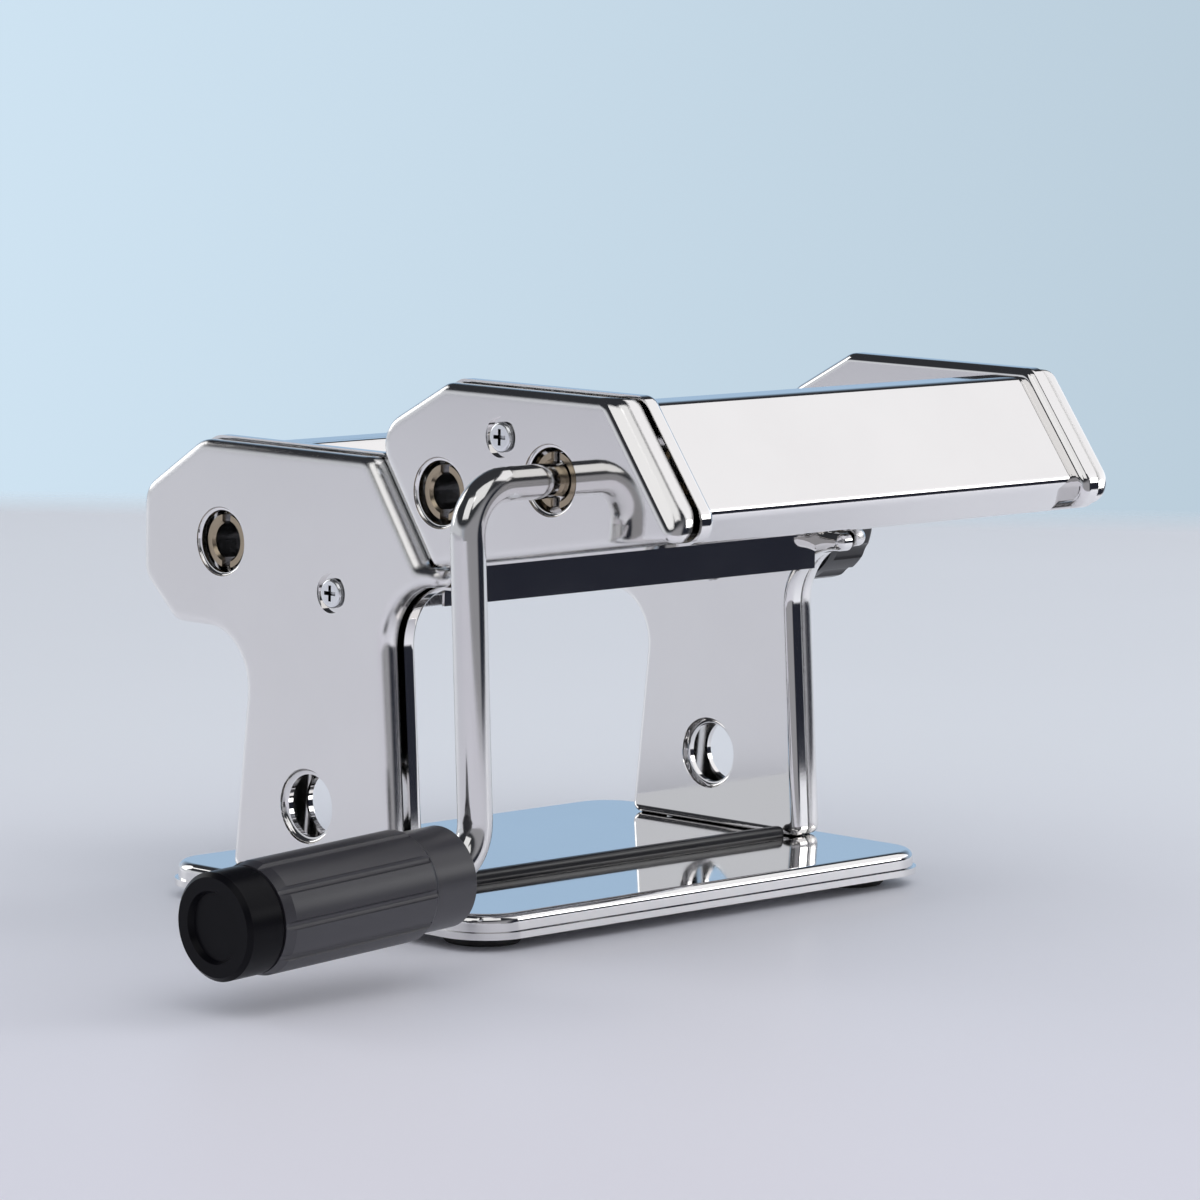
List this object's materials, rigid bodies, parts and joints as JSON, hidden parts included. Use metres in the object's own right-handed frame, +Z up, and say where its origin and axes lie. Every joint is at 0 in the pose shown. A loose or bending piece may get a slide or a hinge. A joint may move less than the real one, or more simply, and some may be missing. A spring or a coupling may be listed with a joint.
{
  "type": "manual pasta roller machine",
  "caption": "Hand-cranked kitchen machine that rolls dough into sheets between smooth rollers and cuts them into strands in a lift-off cutter head.",
  "frame": {"origin": "on the worktop, under the middle of the base plate", "axes": "+X along the rollers towards the adjuster knob (the crank is on the -X side), -Y towards the cutter head, +Z up"},
  "size_m": [0.3198, 0.2157, 0.1569],
  "materials": {
    "polished_chrome": "polished pressed steel sheet",
    "zinc_steel": "bright zinc-plated steel",
    "roller_steel": "fine-ground steel",
    "gear_steel": "sintered steel",
    "bronze": "sintered bronze",
    "comb_steel": "rolled steel strip",
    "black_plastic": "satin moulded plastic",
    "foot_rubber": "matt"
  },
  "bodies": {
    "machine_body": {"base_plate": "polished_chrome", "base_feet": "foot_rubber", "leg_brackets": "zinc_steel", "base_screws": "zinc_steel", "side_cover_left": "polished_chrome", "side_cover_right": "polished_chrome", "side_frame_left": "polished_chrome", "side_frame_right": "polished_chrome", "body_tie_rods": "zinc_steel", "side_spacers": "zinc_steel", "side_cover_screws": "polished_chrome", "front_cover": "polished_chrome", "hopper_front": "polished_chrome", "hopper_rear": "polished_chrome", "rear_cover": "polished_chrome", "rear_roller_bushes": "bronze", "rear_scraper": "comb_steel", "adjuster_bushes": "bronze", "index_plate": "zinc_steel"},
    "rear_roller": {"rear_roller": "roller_steel", "rear_roller_gear": "gear_steel"},
    "roller_carriage": {"bearing_block_left": "bronze", "bearing_block_right": "bronze", "front_scraper": "comb_steel"},
    "front_roller": {"front_roller": "roller_steel", "front_roller_gear": "gear_steel"},
    "adjuster": {"adjuster_shaft": "zinc_steel", "knob_screw": "zinc_steel", "knob_spring": "zinc_steel"},
    "knob": {"adjuster_knob": "black_plastic", "knob_cap": "black_plastic"},
    "cutter_head": {"cutter_cap_left": "polished_chrome", "cutter_cap_right": "polished_chrome", "cutter_frame_left": "polished_chrome", "cutter_frame_right": "polished_chrome", "cutter_tongues": "zinc_steel", "cutter_front_plate": "polished_chrome", "cutter_centre_guide": "polished_chrome", "cutter_rear_plate": "polished_chrome", "cutter_tie_rods": "zinc_steel", "cutter_spacers": "zinc_steel", "cutter_cap_screws": "polished_chrome", "cutter_bushes": "bronze", "front_comb_a": "comb_steel", "front_comb_b": "comb_steel", "rear_comb_a": "comb_steel", "rear_comb_b": "comb_steel"},
    "front_cutter_a": {"front_cutter_driven": "roller_steel", "front_cutter_driven_gear": "gear_steel"},
    "front_cutter_b": {"front_cutter_idle": "roller_steel", "front_cutter_idle_gear": "gear_steel"},
    "rear_cutter_a": {"rear_cutter_driven": "roller_steel", "rear_cutter_driven_gear": "gear_steel"},
    "rear_cutter_b": {"rear_cutter_idle": "roller_steel", "rear_cutter_idle_gear": "gear_steel"},
    "crank": {"crank_rod": "polished_chrome", "crank_push_nut": "zinc_steel"},
    "grip": {"crank_grip": "black_plastic", "crank_grip_cap": "black_plastic"}
  },
  "joints": [
    {"name": "rear_roller_turn", "type": "hinge", "parent": "machine_body", "child": "rear_roller", "pos_m": [0, 0.0461, 0.1043], "axis": [1, 0, 0], "continuous": true},
    {"name": "roller_gap", "type": "slide", "parent": "machine_body", "child": "roller_carriage", "axis": [0, 1, 0], "range_m": [0, 0.0025]},
    {"name": "front_roller_turn", "type": "hinge", "parent": "roller_carriage", "child": "front_roller", "pos_m": [0, 0.0151, 0.1043], "axis": [1, 0, 0], "continuous": true},
    {"name": "adjuster_turn", "type": "hinge", "parent": "machine_body", "child": "adjuster", "pos_m": [0, -0.0095, 0.1043], "axis": [-1, 0, 0], "range_deg": [0, 150]},
    {"name": "knob_pull", "type": "slide", "parent": "adjuster", "child": "knob", "axis": [1, 0, 0], "range_m": [0, 0.0045], "stiffness_N_per_m": 900, "springref_m": -0.003, "deforming": ["knob_spring"]},
    {"name": "cutter_lift", "type": "slide", "parent": "machine_body", "child": "cutter_head", "axis": [0, 0.5635, 0.8261], "range_m": [0, 0.05]},
    {"name": "front_cutter_turn", "type": "hinge", "parent": "cutter_head", "child": "front_cutter_a", "pos_m": [0, -0.0852, 0.13241], "axis": [1, 0, 0], "continuous": true},
    {"name": "front_cutter_mesh", "type": "hinge", "parent": "cutter_head", "child": "front_cutter_b", "pos_m": [0, -0.10346, 0.13537], "axis": [1, 0, 0], "continuous": true},
    {"name": "rear_cutter_turn", "type": "hinge", "parent": "cutter_head", "child": "rear_cutter_a", "pos_m": [0, -0.04256, 0.1255], "axis": [1, 0, 0], "continuous": true},
    {"name": "rear_cutter_mesh", "type": "hinge", "parent": "cutter_head", "child": "rear_cutter_b", "pos_m": [0, -0.06082, 0.12846], "axis": [1, 0, 0], "continuous": true},
    {"name": "crank_pull", "type": "slide", "parent": "front_cutter_a", "child": "crank", "axis": [-1, 0, 0], "range_m": [0, 0.026]},
    {"name": "grip_turn", "type": "hinge", "parent": "crank", "child": "grip", "pos_m": [-0.11533, -0.0852, 0.02917], "axis": [-0.9984, 0, -0.0558], "continuous": true}
  ],
  "couplings": [
    {"joint": "adjuster_turn", "follows": "roller_gap", "rad_per_m": 1047.2},
    {"joint": "front_roller_turn", "follows": "rear_roller_turn", "ratio": -1},
    {"joint": "front_cutter_mesh", "follows": "front_cutter_turn", "ratio": -1},
    {"joint": "rear_cutter_mesh", "follows": "rear_cutter_turn", "ratio": -1}
  ]
}
